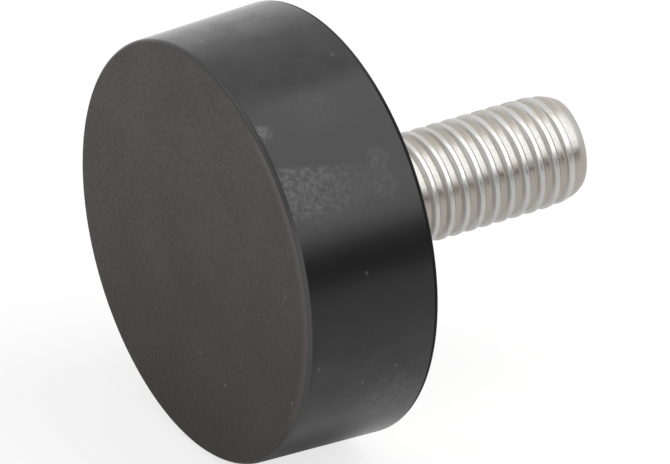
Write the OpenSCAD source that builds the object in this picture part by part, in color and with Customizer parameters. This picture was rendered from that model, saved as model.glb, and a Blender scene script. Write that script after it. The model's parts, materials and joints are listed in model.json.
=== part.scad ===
// Rubber buffer with one threaded stud, used as an end stop, a bumper or a foot.
// The stud is pressed into a steel plate, and the rubber is moulded round both.
// The origin is the centre of the mounting face. The stud runs along +Y and the bumper looks along -Y.

/* [Rubber block] */
// Diameter of the block at its mounting face
buffer_d = 31; // [24:0.5:60]
// Height of the block, from the mounting face to the bumper face
buffer_h = 10.3; // [8:0.1:40]
// Draft of the moulded side wall, in degrees, which makes the bumper face the smaller one
draft_angle = 2; // [0:0.25:5]
// Radius of the edge round the bumper face
bumper_edge_r = 0.35; // [0.1:0.05:1.5]
// Radius of the edge round the mounting face
mounting_edge_r = 0.4; // [0.1:0.05:0.6]
// Thickness of the rubber skin that wraps the rim of the plate
skin_t = 1; // [0.7:0.1:3]

/* [Steel plate] */
// Thickness of the plate
plate_t = 2; // [1.5:0.1:4]
// Radius that blanking rolls on the plate's inner edge
plate_roll_r = 0.5; // [0.1:0.1:1.2]
// Gap all round the stud's neck in the plate's hole
hole_clearance = 0.05; // [0.02:0.01:0.2]

/* [Threaded stud] */
// Nominal diameter of the thread
thread_d = 8; // [4:0.5:12]
// Length of the thread, from the mounting face to the tip
thread_l = 20; // [8:1:60]
// Length of the taper at the tip, which is part of the thread's length
tip_l = 1.2; // [0.3:0.1:2]
// How far the tip's flat end lies below the thread's crests, on the radius
tip_step = 0.6; // [0.2:0.1:1]
// How far the neck in the plate stands over the thread
neck_step = 0.2; // [0.1:0.05:0.5]
// Thickness of the head
head_t = 2.2; // [1.2:0.1:3]
// Width of the head's flat rim outside the serrations
head_rim = 1.4; // [0.8:0.1:3]
// Radius of the head's outer edge
head_edge_r = 0.7; // [0.1:0.1:1]

/* [Serrations] */
// Number of teeth that grip the plate
tooth_count = 24; // [12:1:36]
// Height of the teeth, from root to tip
tooth_h = 0.7; // [0.3:0.1:1]
// Length of the teeth along the stud
tooth_l = 1.2; // [0.5:0.1:1.4]
// How far the roots of the teeth stand over the neck
root_step = 0.2; // [0.1:0.05:0.4]

/* [Hidden] */
$fn = 96;
// Steps in each rounded edge
arc_steps = 8;
// How far a cutting shape runs past the face that it opens
cut_past = 1;

plate_r = buffer_d / 2 - skin_t;
thread_r = thread_d / 2;
neck_r = thread_r + neck_step;
root_r = neck_r + root_step;
tooth_r = root_r + tooth_h;
head_r = tooth_r + head_rim;

RUBBER_COLOUR = [0.10, 0.095, 0.09];
PLATE_COLOUR = [0.70, 0.71, 0.72];
STUD_COLOUR = [0.80, 0.80, 0.78];

// Each outline below is half a section: its first axis is the distance from the stud's centre line,
// and its second is the height along the stud, which is 0 at the mounting face.

// Points of an arc about a centre, from one angle to another
function arc(centre, r, from, to) =
    [for (i = [0:arc_steps])
        let (angle = from + (to - from) * i / arc_steps)
        centre + r * [cos(angle), sin(angle)]];

// Distance of the drafted side wall from the centre line at a height
function wall_r(height) = buffer_d / 2 + height * tan(draft_angle);

// Points of a rounded edge that meets the drafted side wall, with its centre at a height
function wall_edge(r, height, from, to) =
    arc([wall_r(height) - r / cos(draft_angle), height], r, from, to);

// Outside of the rubber
module block_outline() {
    polygon(concat(
        [[0, -buffer_h]],
        wall_edge(bumper_edge_r, bumper_edge_r - buffer_h, -90, -draft_angle),
        wall_edge(mounting_edge_r, -mounting_edge_r, -draft_angle, 90),
        [[0, 0]]
    ));
}

// The plate, whose outer face is at the height given by top
module plate_outline(top = 0) {
    polygon(concat(
        [[0, -plate_t]],
        arc([plate_r - plate_roll_r, plate_roll_r - plate_t], plate_roll_r, -90, 0),
        [[plate_r, top], [0, top]]
    ));
}

// The stud's head, which bears on the inner face of the plate
module head_outline() {
    polygon(concat(
        [[0, -plate_t - head_t]],
        arc([head_r - head_edge_r, head_edge_r - plate_t - head_t], head_edge_r, -90, 0),
        [[head_r, -plate_t], [0, -plate_t]]
    ));
}

// The neck, which fills the plate's hole, and the thread at its nominal diameter
module shank_outline() {
    polygon([
        [0, -plate_t],
        [neck_r, -plate_t],
        [neck_r, 0],
        [thread_r, 0],
        [thread_r, thread_l - tip_l],
        [thread_r - tip_step, thread_l],
        [0, thread_l]
    ]);
}

// Ring of pointed teeth under the head, which bites into the plate
module serrations() {
    pitch_angle = 360 / tooth_count;
    translate([0, 0, -plate_t])
        linear_extrude(tooth_l)
            polygon([for (i = [0:tooth_count - 1], side = [0, 1])
                let (angle = (i + side / 2) * pitch_angle)
                let (r = side == 0 ? root_r : tooth_r)
                r * [cos(angle), sin(angle)]]);
}

// Turns a model built about the Z axis so that the stud runs along +Y
module stud_along_y() {
    rotate([-90, 0, 0]) children();
}

module rubber_block() {
    color(RUBBER_COLOUR)
        stud_along_y()
            rotate_extrude()
                difference() {
                    block_outline();
                    plate_outline(top = cut_past);
                    head_outline();
                }
}

module steel_plate() {
    color(PLATE_COLOUR)
        stud_along_y()
            difference() {
                rotate_extrude() plate_outline();
                translate([0, 0, -plate_t - cut_past])
                    cylinder(h = plate_t + 2 * cut_past, r = neck_r + hole_clearance);
                serrations();
            }
}

module threaded_stud() {
    color(STUD_COLOUR)
        stud_along_y() {
            rotate_extrude() {
                head_outline();
                shank_outline();
            }
            serrations();
        }
}

rubber_block();
steel_plate();
threaded_stud();
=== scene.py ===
import json
import math
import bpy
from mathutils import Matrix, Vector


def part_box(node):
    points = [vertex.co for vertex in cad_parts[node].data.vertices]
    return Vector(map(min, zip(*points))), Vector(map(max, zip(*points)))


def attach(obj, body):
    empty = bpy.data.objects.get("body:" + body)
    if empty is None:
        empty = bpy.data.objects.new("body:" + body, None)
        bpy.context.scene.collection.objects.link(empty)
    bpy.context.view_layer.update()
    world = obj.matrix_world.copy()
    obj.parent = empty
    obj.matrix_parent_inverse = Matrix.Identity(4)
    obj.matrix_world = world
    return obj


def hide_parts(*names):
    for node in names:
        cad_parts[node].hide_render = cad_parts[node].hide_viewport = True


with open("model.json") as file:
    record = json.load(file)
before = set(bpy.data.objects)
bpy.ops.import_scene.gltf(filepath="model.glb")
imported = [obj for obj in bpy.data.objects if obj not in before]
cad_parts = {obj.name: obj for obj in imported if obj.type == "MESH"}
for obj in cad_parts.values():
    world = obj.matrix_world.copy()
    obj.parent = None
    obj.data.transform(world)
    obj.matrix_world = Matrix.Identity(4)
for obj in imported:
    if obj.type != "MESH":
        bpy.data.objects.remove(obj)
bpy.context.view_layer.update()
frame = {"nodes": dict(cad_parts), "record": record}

from types import SimpleNamespace

import bmesh
import bpy
from mathutils import Matrix, Vector

MM = 0.001

# Sizes that the frame gives. The stud runs along +Y and the bumper face looks along -Y.
BLOCK_LOW, BLOCK_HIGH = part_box("rubber_block")
PLATE_LOW, PLATE_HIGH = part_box("steel_plate")
STUD_LOW, STUD_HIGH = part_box("threaded_stud")
MOUNTS = {mount["name"]: mount for mount in frame["record"]["mounts"]}

BUMPER_Y = BLOCK_LOW.y
MOUNTING_Y = BLOCK_HIGH.y
BLOCK_R = BLOCK_HIGH.x
PLATE_R = PLATE_HIGH.x
PLATE_INNER_Y = PLATE_LOW.y
HEAD_R = STUD_HIGH.x
HEAD_Y = STUD_LOW.y
TIP_Y = STUD_HIGH.y
THREAD_R = MOUNTS["stud"]["dims"]["r_mm"] * MM
FLOOR_Z = BLOCK_LOW.z

# Sizes that the frame doesn't give
DRAFT = math.radians(2)
BUMPER_EDGE_R = 0.35 * MM
MOUNTING_EDGE_R = 0.4 * MM


def wall_radius(y):
    """Distance of the drafted wall from the axis."""
    sharp_r = BLOCK_R + MOUNTING_EDGE_R * (math.tan(DRAFT) + 1 / math.cos(DRAFT) - 1)
    return sharp_r + (y - MOUNTING_Y) * math.tan(DRAFT)


def orient(thing, right, up, back):
    """Turns an object so that its own three axes lie along these directions."""
    thing.rotation_mode = "QUATERNION"
    thing.rotation_quaternion = Matrix((right, up, back)).transposed().to_quaternion()


# ---------------------------------------------------------------- camera

# Where the camera stands, seen from the bumper face: the azimuth is from -Y towards +X
AZIMUTH = math.radians(57.9)
ELEVATION = math.radians(28.0)
DISTANCE = 0.600
LENS_MM = 467.9
SENSOR_MM = 36
# How far it aims beside and above the middle of the bumper face
AIM_RIGHT = 9.80 * MM
AIM_UP = 1.45 * MM


def make_camera():
    """A long lens, without roll, to the right of the bumper face and above it."""
    back = Vector((
        math.sin(AZIMUTH) * math.cos(ELEVATION),
        -math.cos(AZIMUTH) * math.cos(ELEVATION),
        math.sin(ELEVATION),
    ))
    right = Vector((math.cos(AZIMUTH), math.sin(AZIMUTH), 0))
    up = back.cross(right)
    data = bpy.data.cameras.new("camera")
    data.lens = LENS_MM
    data.sensor_width = SENSOR_MM
    data.clip_start, data.clip_end = 0.05, 20
    camera = bpy.data.objects.new("camera", data)
    camera.location = Vector((0, BUMPER_Y, 0)) + AIM_RIGHT * right + AIM_UP * up + DISTANCE * back
    orient(camera, right, up, back)
    bpy.context.scene.collection.objects.link(camera)
    bpy.context.scene.camera = camera


# ---------------------------------------------------------------- node helpers

def new_material(name):
    """An empty node material and its tree, with an output node."""
    material = bpy.data.materials.new(name)
    material.use_nodes = True
    tree = material.node_tree
    tree.nodes.clear()
    tree.nodes.new("ShaderNodeOutputMaterial")
    return material, tree


def finish_material(tree, shader):
    output = [n for n in tree.nodes if n.bl_idname == "ShaderNodeOutputMaterial"][0]
    tree.links.new(shader.outputs[0], output.inputs["Surface"])


def feed(tree, socket, value):
    """Links another node's output to a socket, or sets the socket's own value."""
    if isinstance(value, bpy.types.NodeSocket):
        tree.links.new(value, socket)
    else:
        socket.default_value = value


def add(tree, kind, settings=None, **inputs):
    """A node with its settings, and its inputs set or linked by name, or by number as _0, _1."""
    node = tree.nodes.new(kind)
    for key, value in (settings or {}).items():
        setattr(node, key, value)
    for key, value in inputs.items():
        feed(tree, node.inputs[int(key[1:]) if key[0] == "_" else key.replace("_", " ")], value)
    return node


def calc(tree, operation, a, b=0.0):
    return add(tree, "ShaderNodeMath", {"operation": operation}, _0=a, _1=b).outputs[0]


def product(tree, *values):
    result = values[0]
    for value in values[1:]:
        result = calc(tree, "MULTIPLY", result, value)
    return result


def total(tree, *values):
    result = values[0]
    for value in values[1:]:
        result = calc(tree, "ADD", result, value)
    return result


def length(tree, a, b):
    """Length of the diagonal of a rectangle whose sides are a and b."""
    return calc(tree, "SQRT", total(tree, product(tree, a, a), product(tree, b, b)))


def ramp(tree, value, low, high, to_low=0.0, to_high=1.0):
    """value from low..high to to_low..to_high, eased at both ends and held outside them."""
    settings = {"interpolation_type": "SMOOTHSTEP", "clamp": True}
    node = add(
        tree, "ShaderNodeMapRange", settings, Value=value,
        From_Min=low, From_Max=high, To_Min=to_low, To_Max=to_high)
    return node.outputs["Result"]


def mix_colour(tree, factor, a, b, blend="MIX"):
    node = add(tree, "ShaderNodeMix", {"data_type": "RGBA", "blend_type": blend})
    for name, value in (("Factor", factor), ("A", a), ("B", b)):
        feed(tree, [s for s in node.inputs if s.name == name and s.enabled][0], value)
    return [s for s in node.outputs if s.enabled][0]


def grey(level):
    return (level, level, level, 1)


def tinted(colour, shares):
    """A colour whose red, green and blue are each multiplied by a share."""
    return (*[channel * share for channel, share in zip(colour, shares)], 1)


def scaled(colour, share):
    return tinted(colour, (share, share, share))


def place(tree):
    """Object coordinates: the vector, its parts, and the angle round the stud's axis.

    The angle is in degrees, 0 at +X and 90 at the top.
    """
    vector = add(tree, "ShaderNodeTexCoord").outputs["Object"]
    parts = add(tree, "ShaderNodeSeparateXYZ", Vector=vector).outputs
    angle = product(tree, calc(tree, "ARCTAN2", parts["Z"], parts["X"]), 180 / math.pi)
    return SimpleNamespace(vector=vector, x=parts["X"], y=parts["Y"], z=parts["Z"], angle=angle)


# ---------------------------------------------------------------- patterns

# Share of a spot's radius over which it has its full strength
SPOT_CORE = 0.3


def noise_at(tree, at, size, detail, roughness=0.5):
    """Noise whose features are about size metres across."""
    node = add(
        tree, "ShaderNodeTexNoise", Vector=at.vector, Scale=1 / size, Detail=detail, Roughness=roughness)
    return node.outputs["Fac"]


def spot(tree, across, along, centre, radius):
    """A soft round patch, 1 at its middle and 0 outside its radius, in two coordinates of a surface."""
    a = calc(tree, "SUBTRACT", across, centre[0])
    b = calc(tree, "SUBTRACT", along, centre[1])
    return ramp(tree, length(tree, a, b), SPOT_CORE * radius, radius, 1, 0)


def specks(tree, at, spacing, radius, share):
    """Small round specks, in this share of the cells of a grid with this spacing."""
    node = add(tree, "ShaderNodeTexVoronoi", Vector=at.vector, Scale=1 / spacing)
    speck = ramp(tree, node.outputs["Distance"], radius / 2 / spacing, radius / spacing, 1, 0)
    picked = add(tree, "ShaderNodeSeparateColor", Color=node.outputs["Color"]).outputs["Red"]
    return product(tree, speck, calc(tree, "LESS_THAN", picked, share))


# ---------------------------------------------------------------- rubber

RUBBER = grey(0.007)
RUBBER_GRAIN = 0.25 * MM
RUBBER_RELIEF = 0.02 * MM


def rubber_shader(tree, grain, relief, **inputs):
    """Rubber whose grain stands out as a fine relief of this strength."""
    bump = add(tree, "ShaderNodeBump", Height=grain, Strength=relief, Distance=RUBBER_RELIEF)
    return add(tree, "ShaderNodeBsdfPrincipled", Normal=bump.outputs[0], **inputs)


# ---------------------------------------------------------------- bumper face

FACE_BLOOM = (0.0915, 0.081, 0.0787, 1)
# How far the bloom's level swings either way, and the share of the swing that is fine grain
BLOOM_SWING = 0.2
GRAIN_SHARE = 0.7
FACE_CLOUD = 5 * MM
# Painted shade at the face's lower right and painted light at its upper left, which tint the bloom, and how
# much the right counts
PAINTED_SHADE_LOW = (0.69, 0.65, 0.65, 1)
PAINTED_LIGHT_HIGH = grey(1.14)
PAINTED_SHADE_SLOPE = 0.3
# How much lighter the painted highlight on the rim is, and where it begins and is full, from the start of
# the rounded edge
RIM_HIGHLIGHT_GAIN = 1.6
RIM_START = -0.8 * MM
RIM_FULL = 0.1 * MM
# Where three light flecks stick to the bumper face, across it and up it
FACE_FLECKS = ((0.86 * MM, -7.40 * MM), (4.22 * MM, -8.45 * MM), (12.91 * MM, -5.76 * MM))
FACE_FLECK_R = 0.17 * MM
FLECK = (0.21, 0.19, 0.15, 1)


def painted_rim_highlight(tree, at):
    """1 on the face's outer rim on the right, where a highlight is painted."""
    edge_r = wall_radius(BUMPER_Y) - BUMPER_EDGE_R
    outer = ramp(tree, length(tree, at.x, at.z), edge_r + RIM_START, edge_r + RIM_FULL)
    return product(tree, outer, ramp(tree, at.angle, -36, -26), ramp(tree, at.angle, 50, 62, 1, 0))


def painted_face_shading(tree, at):
    """Painted shade and light for the bloom: darker towards the lower right, lighter towards the upper left.
    """
    height = total(tree, at.z, product(tree, at.x, -PAINTED_SHADE_SLOPE))
    return mix_colour(tree, ramp(tree, height, -BLOCK_R, BLOCK_R), PAINTED_SHADE_LOW, PAINTED_LIGHT_HIGH)


def face_flecks(tree, at):
    """Scattered light specks, and the three largest flecks."""
    light = specks(tree, at, spacing=3.0 * MM, radius=0.22 * MM, share=0.12)
    for centre in FACE_FLECKS:
        light = calc(tree, "MAXIMUM", light, spot(tree, at.x, at.z, centre, FACE_FLECK_R))
    return light


def face_material():
    """The bumper face: matt, with a brownish dusty bloom and a few specks, painted shade and light over it,
    and a painted highlight on the right of its rim.
    """
    material, tree = new_material("rubber_face")
    at = place(tree)
    grain = noise_at(tree, at, RUBBER_GRAIN, detail=4)
    cloud = noise_at(tree, at, FACE_CLOUD, detail=3)
    tone = total(tree, product(tree, grain, GRAIN_SHARE), product(tree, cloud, 1 - GRAIN_SHARE))
    thin = scaled(FACE_BLOOM, 1 - BLOOM_SWING)
    thick = scaled(FACE_BLOOM, 1 + BLOOM_SWING)
    bloom_and_shading = mix_colour(tree, ramp(tree, tone, 0.35, 0.65), thin, thick)
    # A painted highlight along the right of the rim
    bloom_and_shading = mix_colour(tree, painted_rim_highlight(tree, at), bloom_and_shading, scaled(FACE_BLOOM, RIM_HIGHLIGHT_GAIN))
    # Painted shade towards the lower right, painted light towards the upper left
    bloom_and_shading = mix_colour(tree, 1.0, bloom_and_shading, painted_face_shading(tree, at), "MULTIPLY")
    colour = mix_colour(tree, face_flecks(tree, at), bloom_and_shading, FLECK)
    shader = rubber_shader(tree, grain, relief=0.25, Base_Color=colour, Roughness=0.65, IOR=1.35)
    finish_material(tree, shader)
    return material


# ---------------------------------------------------------------- side wall

# Colour of the dust, and of the painted sheen, reflection and highlights on the wall and its edge
DUST_AND_HIGHLIGHTS = grey(0.16)
WALL_BLOTCH = 2.5 * MM
WALL_MOTTLE = 0.35 * MM
SPECK_WEIGHT = 0.35
# Length of a degree along the wall
WALL_DEGREE = math.radians(BLOCK_R)

# The lighter patch on the wall: angles over which it begins, the angle of its upper edge at the mounting
# face, how many degrees that edge rises in each mm towards the bumper face, and how soft it is
PATCH_START = (27, 35)
PATCH_TOP = 38.3
PATCH_RISE = 0.85
PATCH_SOFT = 0.7

# Smudges on the side wall, its largest fleck and one painted reflection of the table: angle, y in mm, radius
# in mm, weight
WALL_SMUDGES_AND_REFLECTION = (
    (57, -9.7, 0.9, 0.40), (42, -2.5, 1.2, 0.17), (35, -2.6, 1.3, 0.10), (60, -5.5, 2.5, 0.05),
    # The row at -27 degrees is a painted reflection of the table on the lower wall near the mounting face
    (-27, -3.2, 3.6, 0.15), (43, -9.6, 0.4, 0.25), (39, -9.7, 0.35, 0.25), (-9, -9.4, 0.2, 0.7),
)

# Angles over which the painted shade on the bumper face's edge begins and ends
SHADED_EDGE_START = (26, 38)
SHADED_EDGE_END = (57, 68)

WALL_ROUGHNESS = 0.27
PATCH_ROUGHNESS = 0.36
SCUFF_ROUGHNESS = 0.31
# Share of its roughness that the polished strip keeps
POLISHED_SHARE = 0.3


def settled_dust_and_sheen(tree, at):
    """Dust that has settled on the upper half, and a painted sheen past the top, where it is thickest; both
    are gone on the far side.
    """
    thickness = total(
        tree, ramp(tree, at.angle, 55, 70, 0.02, 0.12),
        ramp(tree, at.angle, 86, 108, 0, 0.5), ramp(tree, at.angle, 102, 115, 0, 1.2))
    return product(tree, thickness, ramp(tree, at.angle, 125, 175, 1, 0))


def lower_dust(tree, at):
    """Thinner dust on the lower half."""
    return product(tree, ramp(tree, at.angle, -14, 6, 0.085, 0), ramp(tree, at.angle, -50, -26, 0.02, 1))


def lighter_patch(tree, at):
    """A lighter patch below a sharp, tilted upper edge, thickest near the bumper face."""
    top = total(tree, product(tree, at.y, -PATCH_RISE / MM), PATCH_TOP)
    below = ramp(tree, calc(tree, "SUBTRACT", top, at.angle), -PATCH_SOFT, PATCH_SOFT)
    thickness = ramp(tree, at.y, -9.0 * MM, -0.6 * MM, 0.31, 0.02)
    return product(tree, below, ramp(tree, at.angle, *PATCH_START), thickness)


def smudges_and_reflection(tree, at):
    """A soft round spot for each listed smudge, fleck and painted reflection."""
    around = product(tree, at.angle, WALL_DEGREE)
    for angle, y_mm, radius_mm, weight in WALL_SMUDGES_AND_REFLECTION:
        centre = (angle * WALL_DEGREE, y_mm * MM)
        yield product(tree, spot(tree, around, at.y, centre, radius_mm * MM), weight)


def edge_highlight_and_shade(tree, at):
    """Painted highlight on the bumper face's edge, strongest on the lower right, except for a stretch left
    black as painted shade, where only a thin line at the front is lighter.
    """
    below = product(tree, ramp(tree, at.angle, *SHADED_EDGE_START, 0.46, 0), ramp(tree, at.angle, -30, 14, 0.62, 1))
    above = ramp(tree, at.angle, *SHADED_EDGE_END, 0, 0.2)
    stretch = product(tree, ramp(tree, at.angle, *SHADED_EDGE_START), ramp(tree, at.angle, *SHADED_EDGE_END, 1, 0))
    front = ramp(tree, at.y, BUMPER_Y + 0.3 * BUMPER_EDGE_R, BUMPER_Y + 0.8 * BUMPER_EDGE_R, 0.25, 0)
    return total(tree, below, above, product(tree, stretch, front))


def wall_roughness(tree, at, patch):
    """Duller in the patch and in the lower part near the bumper face, and polished past the top."""
    plain = ramp(tree, patch, 0, 0.2, WALL_ROUGHNESS, PATCH_ROUGHNESS)
    scuffed = product(
        tree, ramp(tree, at.angle, -44, -29, SCUFF_ROUGHNESS, 0), ramp(tree, at.y, -8 * MM, -2 * MM, 1, 0))
    polished = product(tree, ramp(tree, at.angle, 103, 115), ramp(tree, at.angle, 122, 145, 1, 0))
    kept = ramp(tree, polished, 0, 1, 1, POLISHED_SHARE)
    return product(tree, total(tree, plain, scuffed), kept)


def wall_material():
    """The side wall and the bumper face's edge: smoother and blacker, with dust, a lighter patch near the
    bumper face, painted sheen past the top, a painted reflection on the lower wall, and painted highlight
    and shade on the edge.
    """
    material, tree = new_material("rubber_wall")
    at = place(tree)
    grain = noise_at(tree, at, RUBBER_GRAIN, detail=4)
    blotch = noise_at(tree, at, WALL_BLOTCH, detail=5, roughness=0.6)
    blotch = ramp(tree, blotch, 0.35, 0.65, 0.6, 1.3)
    mottle = noise_at(tree, at, WALL_MOTTLE, detail=5, roughness=0.7)
    mottle = ramp(tree, mottle, 0.38, 0.64, 0.2, 1.85)
    flecks = product(tree, specks(tree, at, spacing=2 * MM, radius=0.2 * MM, share=0.5), SPECK_WEIGHT)
    patch = product(tree, lighter_patch(tree, at), mottle)
    # Dust and flecks, with painted sheen past the top, a painted reflection on the lower wall and the
    # lighter patch
    light_marks = total(
        tree, product(tree, settled_dust_and_sheen(tree, at), blotch), product(tree, lower_dust(tree, at), blotch),
        patch, *[product(tree, wall_mark, mottle) for wall_mark in smudges_and_reflection(tree, at)], flecks)

    # The bumper face's edge has painted highlight and shade instead of dust
    edge = ramp(tree, at.y, BUMPER_Y + 0.6 * BUMPER_EDGE_R, BUMPER_Y + BUMPER_EDGE_R, 1, 0)
    off_edge = calc(tree, "SUBTRACT", 1, edge)
    light = total(tree, product(tree, light_marks, off_edge), product(tree, edge_highlight_and_shade(tree, at), edge))
    colour = mix_colour(tree, light, RUBBER, DUST_AND_HIGHLIGHTS)
    roughness = wall_roughness(tree, at, patch)
    shader = rubber_shader(tree, grain, relief=0.2, Base_Color=colour, Roughness=roughness, IOR=1.45)
    finish_material(tree, shader)
    return material


def rear_edge_material():
    """The rounded edge at the mounting face: black and dull, with a little dust on its upper part."""
    material, tree = new_material("rubber_rear_edge")
    at = place(tree)
    light_marks = product(tree, ramp(tree, at.angle, 54, 74), ramp(tree, at.angle, 115, 165, 1, 0))
    colour = mix_colour(tree, light_marks, RUBBER, grey(0.04))
    shader = add(tree, "ShaderNodeBsdfPrincipled", Base_Color=colour, Roughness=0.6, IOR=1.2)
    finish_material(tree, shader)
    return material


# ---------------------------------------------------------------- zinc plate

ZINC = (0.60, 0.594, 0.580, 1)
ZINC_ROUGHNESS = 0.34
ZINC_GRAIN = 0.2 * MM
ZINC_RELIEF = 0.01 * MM
ZINC_CLOUD = 2 * MM
# Shares of the zinc's colour that are kept in its stains, and in the thread's grooves, which a yellowish
# film and painted shade darken, and which are painted more neutral along the band where the highlight falls
ZINC_STAIN = (0.90, 0.885, 0.85)
GROOVE_FILM_AND_SHADE = (0.75, 0.705, 0.635)
GROOVE_IN_HIGHLIGHT = (0.71, 0.70, 0.68)
# Depths below the crests at which the film and painted shade are full, and at which they end
FILM_AND_SHADE_FULL = 0.30 * MM
FILM_AND_SHADE_END = 0.17 * MM


def zinc_material():
    """Bright zinc plate with faint stains, and in the thread's grooves a yellowish film with painted shade,
    painted more neutral along the band where the highlight falls.
    """
    material, tree = new_material("zinc_plate")
    at = place(tree)
    grain = noise_at(tree, at, ZINC_GRAIN, detail=4)
    stain = noise_at(tree, at, ZINC_CLOUD, detail=3)
    plain = mix_colour(tree, ramp(tree, stain, 0.35, 0.7), ZINC, tinted(ZINC, ZINC_STAIN))
    # Painted light: the band of angles where the highlight falls on the thread
    highlight_band = product(tree, ramp(tree, at.angle, 16, 34), ramp(tree, at.angle, 56, 74, 1, 0))
    film_and_shade = mix_colour(tree, highlight_band, tinted(ZINC, GROOVE_FILM_AND_SHADE), tinted(ZINC, GROOVE_IN_HIGHLIGHT))
    groove = ramp(tree, length(tree, at.x, at.z), THREAD_R - FILM_AND_SHADE_FULL, THREAD_R - FILM_AND_SHADE_END, 1, 0)
    bump = add(tree, "ShaderNodeBump", Height=grain, Strength=0.2, Distance=ZINC_RELIEF)
    shader = add(
        tree, "ShaderNodeBsdfPrincipled", Base_Color=mix_colour(tree, groove, plain, film_and_shade), Metallic=1.0,
        Normal=bump.outputs[0],
        Roughness=ramp(tree, grain, 0.3, 0.7, ZINC_ROUGHNESS * 0.85, ZINC_ROUGHNESS * 1.25))
    finish_material(tree, shader)
    return material


# ---------------------------------------------------------------- mesh helpers

# Edges between faces that meet at a sharper angle than this aren't shaded smooth
SHARP_ANGLE = math.radians(50)
# A point of a profile that is nearer to the axis than this lies on it
ON_AXIS = 1e-9


def new_piece(name, tool, materials, replaced):
    """A piece from a bmesh, riding on the only body and standing for a CAD node."""
    mesh = bpy.data.meshes.new(name)
    tool.to_mesh(mesh)
    tool.free()
    for material in materials:
        mesh.materials.append(material)
    mesh.polygons.foreach_set("use_smooth", [True] * len(mesh.polygons))
    mesh.set_sharp_from_angle(angle=SHARP_ANGLE)
    piece = bpy.data.objects.new(name, mesh)
    bpy.context.scene.collection.objects.link(piece)
    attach(piece, "root")
    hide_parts(replaced)
    return piece


def arc(centre, radius, start, stop, steps):
    """Points (distance from the stud's axis, y) of an arc; angles in degrees."""
    for i in range(steps + 1):
        angle = math.radians(start + (stop - start) * i / steps)
        yield (centre[0] + radius * math.cos(angle), centre[1] + radius * math.sin(angle))


def between(a, b, steps):
    """Points from a to b, without either end."""
    for i in range(1, steps):
        yield (a[0] + (b[0] - a[0]) * i / steps, a[1] + (b[1] - a[1]) * i / steps)


def revolve(profile, segments):
    """Turns (distance, y) points about the Y axis. The first and last lie on the axis."""
    tool = bmesh.new()
    rings = []
    for distance, y in profile:
        if distance < ON_AXIS:
            rings.append([tool.verts.new((0, y, 0))])
            continue
        ring = []
        for i in range(segments):
            angle = 2 * math.pi * i / segments
            ring.append(tool.verts.new((distance * math.cos(angle), y, distance * math.sin(angle))))
        rings.append(ring)
    for inner, outer in zip(rings, rings[1:]):
        for i in range(segments):
            j = (i + 1) % segments
            a, b = inner[i % len(inner)], inner[j % len(inner)]
            c, d = outer[j % len(outer)], outer[i % len(outer)]
            # On the axis two of the four corners are the same point
            tool.faces.new(list(dict.fromkeys((a, b, c, d))))
    bmesh.ops.recalc_face_normals(tool, faces=tool.faces)
    return tool


# ---------------------------------------------------------------- rubber block

SEGMENTS = 384
EDGE_STEPS = 8
FLAT_STEPS = 24
# What lies this close to the bumper face's plane belongs to the face
FACE_DEPTH = 0.02 * MM
# Material slots of the block
FACE_SLOT, WALL_SLOT, REAR_EDGE_SLOT = range(3)


def block_profile():
    """Half a section of the block, from the bumper face's middle to the bottom of the pocket."""
    draft = math.degrees(DRAFT)
    front_y = BUMPER_Y + BUMPER_EDGE_R
    front = (wall_radius(front_y) - BUMPER_EDGE_R / math.cos(DRAFT), front_y)
    rear_y = MOUNTING_Y - MOUNTING_EDGE_R
    rear = (wall_radius(rear_y) - MOUNTING_EDGE_R / math.cos(DRAFT), rear_y)
    front_edge = list(arc(front, BUMPER_EDGE_R, -90, -draft, EDGE_STEPS))
    rear_edge = list(arc(rear, MOUNTING_EDGE_R, -draft, 90, EDGE_STEPS))
    return [
        (0, BUMPER_Y), *between((0, BUMPER_Y), front_edge[0], FLAT_STEPS), *front_edge,
        *between(front_edge[-1], rear_edge[0], FLAT_STEPS), *rear_edge,
        (PLATE_R, MOUNTING_Y), (PLATE_R, PLATE_INNER_Y),
        (HEAD_R, PLATE_INNER_Y), (HEAD_R, HEAD_Y), (0, HEAD_Y),
    ]


def make_rubber_block(face, wall, rear_edge):
    """The moulded block, with the pocket that the plate and the stud's head fill."""
    tool = revolve(block_profile(), SEGMENTS)
    for polygon in tool.faces:
        y = polygon.calc_center_median().y
        if y < BUMPER_Y + FACE_DEPTH:
            polygon.material_index = FACE_SLOT
        elif y > MOUNTING_Y - MOUNTING_EDGE_R:
            polygon.material_index = REAR_EDGE_SLOT
        else:
            polygon.material_index = WALL_SLOT
    return new_piece("moulded_block", tool, (face, wall, rear_edge), "rubber_block")


# ---------------------------------------------------------------- threaded stud

NECK_STEP = 0.2 * MM
NECK_R = THREAD_R + NECK_STEP

# The pitch and the depth that a flank gains along the stud are those of a standard 60 degree thread.
# The rest is shallower and rounder, as in the photo.
PITCH = 1.25 * MM
FLANK_SLOPE = math.sqrt(3)
THREAD_DEPTH = 0.32 * MM
CREST_WIDTH = 0.34 * MM
CREST_BLEND = 0.12 * MM
ROOT_BLEND = 0.12 * MM
# Where the crests lie along the stud
PHASE = -0.25 * MM

# The thread deepens over this stretch from the mounting face
RUN_OUT = (0.2 * MM, 1.8 * MM)
# It grows shallower over this stretch before the tip, by this share of its depth
START = (1.6 * MM, 0.2 * MM)
START_LOSS = 0.3
# The tip's end is this much smaller in radius, along a curve of this length
TIP_STEP = 0.56 * MM
TIP_CURVE = 0.9 * MM
TIP_BLEND = 0.05 * MM

TURN_STEPS = 128
WELD = 0.002 * MM
CUT_TOLERANCE = 1e-8
ON_PLANE = 1e-7


def smooth_max(a, b, blend):
    """The larger of two values, with the corner between them rounded over a blend."""
    overlap = max(blend - abs(a - b), 0) / blend
    return max(a, b) + overlap * overlap * blend / 4


def smooth_step(value, low, high):
    """0 up to low and 1 from high, eased between them."""
    share = min(max((value - low) / (high - low), 0), 1)
    return share * share * (3 - 2 * share)


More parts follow.
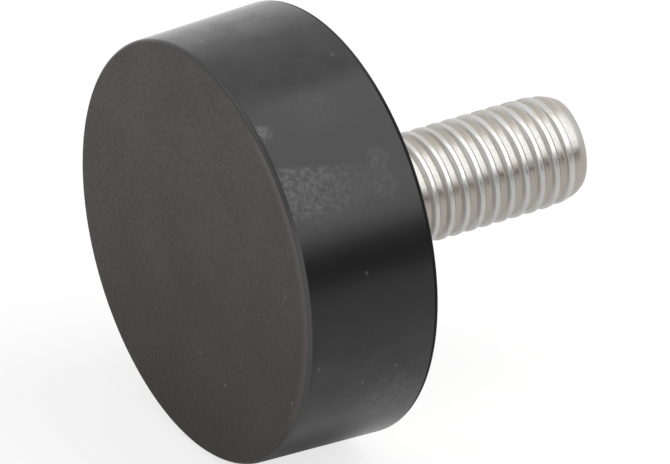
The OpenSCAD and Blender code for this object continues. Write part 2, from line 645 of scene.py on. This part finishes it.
def thread_depth(s):
    """Depth of the thread below its crest, at a distance s along the stud from the crest's middle."""
    flank = (abs(s) - CREST_WIDTH / 2) * FLANK_SLOPE
    crest = smooth_max(flank, 0, CREST_BLEND)
    return -smooth_max(-crest, -THREAD_DEPTH, ROOT_BLEND)


def thread_rows():
    """Distances from a crest's middle, over one pitch, at which the thread has points."""
    crest_end = CREST_WIDTH / 2
    flank_end = crest_end + THREAD_DEPTH / FLANK_SLOPE
    crest_round = CREST_BLEND / FLANK_SLOPE
    root_round = ROOT_BLEND / FLANK_SLOPE
    rows = {0.0, PITCH / 2}
    for share in (-1, -0.66, -0.33, 0, 0.33, 0.66, 1):
        rows.add(crest_end + share * crest_round)
        rows.add(flank_end + share * root_round)
    for share in (0.25, 0.5, 0.75):
        rows.add(crest_end + share * (flank_end - crest_end))
    half = sorted(row for row in rows if 0 <= row <= PITCH / 2)
    return [-row for row in reversed(half[1:-1])] + half


def tip_radius(y):
    """Radius of the tip's taper, which rolling leaves curved."""
    from_end = max(TIP_Y - y, 0)
    return THREAD_R - TIP_STEP * math.exp(-from_end / TIP_CURVE)


def stud_radius(y, s):
    """Radius of the stud at y, where s is the distance from the crest."""
    run_out = smooth_step(y, MOUNTING_Y + RUN_OUT[0], MOUNTING_Y + RUN_OUT[1])
    start = 1 - START_LOSS * smooth_step(y, TIP_Y - START[0], TIP_Y - START[1])
    radius = THREAD_R - thread_depth(s) * run_out * start
    return -smooth_max(-radius, -tip_radius(y), TIP_BLEND)


def thread_strip():
    """The thread's surface as one helical strip, which runs past the stud at both ends."""
    tool = bmesh.new()
    turns = math.ceil((TIP_Y - MOUNTING_Y) / PITCH) + 2
    first = MOUNTING_Y - PITCH + PHASE
    grid = []
    stations = [(turn, row) for turn in range(turns) for row in thread_rows()]
    for turn, s in stations:
        line = []
        for step in range(TURN_STEPS + 1):
            turned = step / TURN_STEPS
            y = first + turn * PITCH + s + PITCH * turned
            angle = -2 * math.pi * turned
            r = stud_radius(min(max(y, MOUNTING_Y), TIP_Y), s)
            line.append(tool.verts.new((r * math.cos(angle), y, r * math.sin(angle))))
        grid.append(line)
    for low, high in zip(grid, grid[1:]):
        for step in range(TURN_STEPS):
            tool.faces.new((low[step], low[step + 1], high[step + 1], high[step]))
    bmesh.ops.remove_doubles(tool, verts=tool.verts, dist=WELD)
    return tool


def cut_square(tool, y, outward):
    """Cuts the strip off at y and returns the ring of edges that this leaves."""
    bmesh.ops.bisect_plane(
        tool, geom=[*tool.verts, *tool.edges, *tool.faces], dist=CUT_TOLERANCE,
        plane_co=(0, y, 0), plane_no=(0, outward, 0), clear_outer=True)
    return [e for e in tool.edges if e.is_boundary and all(abs(v.co.y - y) < ON_PLANE for v in e.verts)]


def grow_ring(tool, rim, radius, y):
    """Draws a ring of boundary edges out to another radius and height, and returns the new ring."""
    grown = bmesh.ops.extrude_edge_only(tool, edges=rim)["geom"]
    points = {v for v in grown if isinstance(v, bmesh.types.BMVert)}
    for point in points:
        share = radius / math.hypot(point.co.x, point.co.z)
        point.co = (point.co.x * share, y, point.co.z * share)
    return [e for e in grown if isinstance(e, bmesh.types.BMEdge) and set(e.verts) <= points]


def make_stud(material):
    """The thread, cut square at the tip, on the neck that fills the plate's hole."""
    tool = thread_strip()
    rim = cut_square(tool, MOUNTING_Y, -1)
    rim = grow_ring(tool, rim, NECK_R, MOUNTING_Y)
    rim = grow_ring(tool, rim, NECK_R, PLATE_INNER_Y)
    bmesh.ops.edgeloop_fill(tool, edges=rim)
    bmesh.ops.edgeloop_fill(tool, edges=cut_square(tool, TIP_Y, 1))
    bmesh.ops.recalc_face_normals(tool, faces=tool.faces)
    return new_piece("stud_thread", tool, (material,), "threaded_stud")


# ---------------------------------------------------------------- stage and light

TABLE_SIZE = 6.0
TABLE_LEVEL = 0.8
# What reflections and the camera see of the table: the level of its shading, and the light added to it
TABLE_MIRRORED = (0.65, 0.35)
TABLE_SEEN = (0.35, 0.75)
ROOM_LEVEL = 0.45


def panel(name, width, height, material):
    """A flat rectangle about its own centre, which faces its own +Z."""
    mesh = bpy.data.meshes.new(name)
    corners = [(x * width / 2, y * height / 2, 0) for x, y in ((-1, -1), (1, -1), (1, 1), (-1, 1))]
    mesh.from_pydata(corners, [], [(0, 1, 2, 3)])
    mesh.materials.append(material)
    rectangle = bpy.data.objects.new(name, mesh)
    bpy.context.scene.collection.objects.link(rectangle)
    return rectangle


def make_floor():
    """A pale table. The camera and reflections see it lifted towards white, and it keeps the shadow."""
    material, tree = new_material("table")
    shader = add(tree, "ShaderNodeBsdfDiffuse", Color=grey(TABLE_LEVEL))
    light_path = add(tree, "ShaderNodeLightPath").outputs
    mirrored = calc(tree, "MAXIMUM", light_path["Is Glossy Ray"], light_path["Is Transmission Ray"])
    for seen, (level, lift) in ((mirrored, TABLE_MIRRORED), (light_path["Is Camera Ray"], TABLE_SEEN)):
        faint = add(tree, "ShaderNodeBsdfDiffuse", Color=grey(level))
        glow = add(tree, "ShaderNodeEmission", Color=grey(1), Strength=lift)
        lifted = add(tree, "ShaderNodeAddShader", _0=faint.outputs[0], _1=glow.outputs[0])
        shader = add(tree, "ShaderNodeMixShader", _0=seen, _1=shader.outputs[0], _2=lifted.outputs[0])
    finish_material(tree, shader)
    floor = panel("table", TABLE_SIZE, TABLE_SIZE, material)
    floor.location.z = FLOOR_Z


def make_world():
    """White for the camera, reflections and glass; a softer white room lights the block."""
    world = bpy.data.worlds.new("studio")
    world.use_nodes = True
    tree = world.node_tree
    tree.nodes.clear()
    light_path = add(tree, "ShaderNodeLightPath").outputs
    seen = calc(tree, "MAXIMUM", light_path["Is Camera Ray"], light_path["Is Glossy Ray"])
    seen = calc(tree, "MAXIMUM", seen, light_path["Is Transmission Ray"])
    room = add(tree, "ShaderNodeBackground", Color=grey(1), Strength=ROOM_LEVEL)
    white = add(tree, "ShaderNodeBackground", Color=grey(1), Strength=1.0)
    shader = add(tree, "ShaderNodeMixShader", _0=seen, _1=room.outputs[0], _2=white.outputs[0])
    output = add(tree, "ShaderNodeOutputWorld")
    tree.links.new(shader.outputs[0], output.inputs["Surface"])
    bpy.context.scene.world = world


def make_light(name, centre, facing, size, radiance):
    """A rectangular soft box of a given radiance, whose first side runs as near to Y as it can."""
    data = bpy.data.lights.new(name, "AREA")
    data.shape = "RECTANGLE"
    data.size, data.size_y = size
    data.energy = radiance * math.pi * size[0] * size[1]
    light = bpy.data.objects.new(name, data)
    light.location = centre
    back = -Vector(facing).normalized()
    up = back.cross(Vector((0, 1, 0))).normalized()
    orient(light, up.cross(back), up, back)
    bpy.context.scene.collection.objects.link(light)


def make_card(name, centre, size, level):
    """An upright card, square to the line from the block. The camera doesn't see it; reflections do."""
    material, tree = new_material(name)
    shader = add(tree, "ShaderNodeBsdfDiffuse", Color=grey(level))
    finish_material(tree, shader)
    card = panel(name, size[0], size[1], material)
    card.location = centre
    card.rotation_mode = "QUATERNION"
    card.rotation_quaternion = Vector((centre[0], centre[1], 0)).to_track_quat("Z", "Y")
    card.visible_camera = False


make_camera()
make_floor()
make_world()
make_light(
    "side_box", centre=(0.213, 0.48, 0.470), facing=(-0.626, 0, -0.780), size=(0.82, 0.845), radiance=1.45)
make_light(
    "front_box", centre=(-0.03, -0.10, 0.14), facing=(0.03, 0.10, -0.14), size=(0.10, 0.10), radiance=1.0)
make_card("flag", centre=(0.218, 0.120, FLOOR_Z + 0.042), size=(0.30, 0.084), level=0.05)
bpy.context.scene.view_settings.view_transform = "Standard"

zinc = zinc_material()
make_rubber_block(face_material(), wall_material(), rear_edge_material())
make_stud(zinc)

# The plate keeps its CAD mesh
plate_materials = frame["nodes"]["steel_plate"].data.materials
plate_materials.clear()
plate_materials.append(zinc)
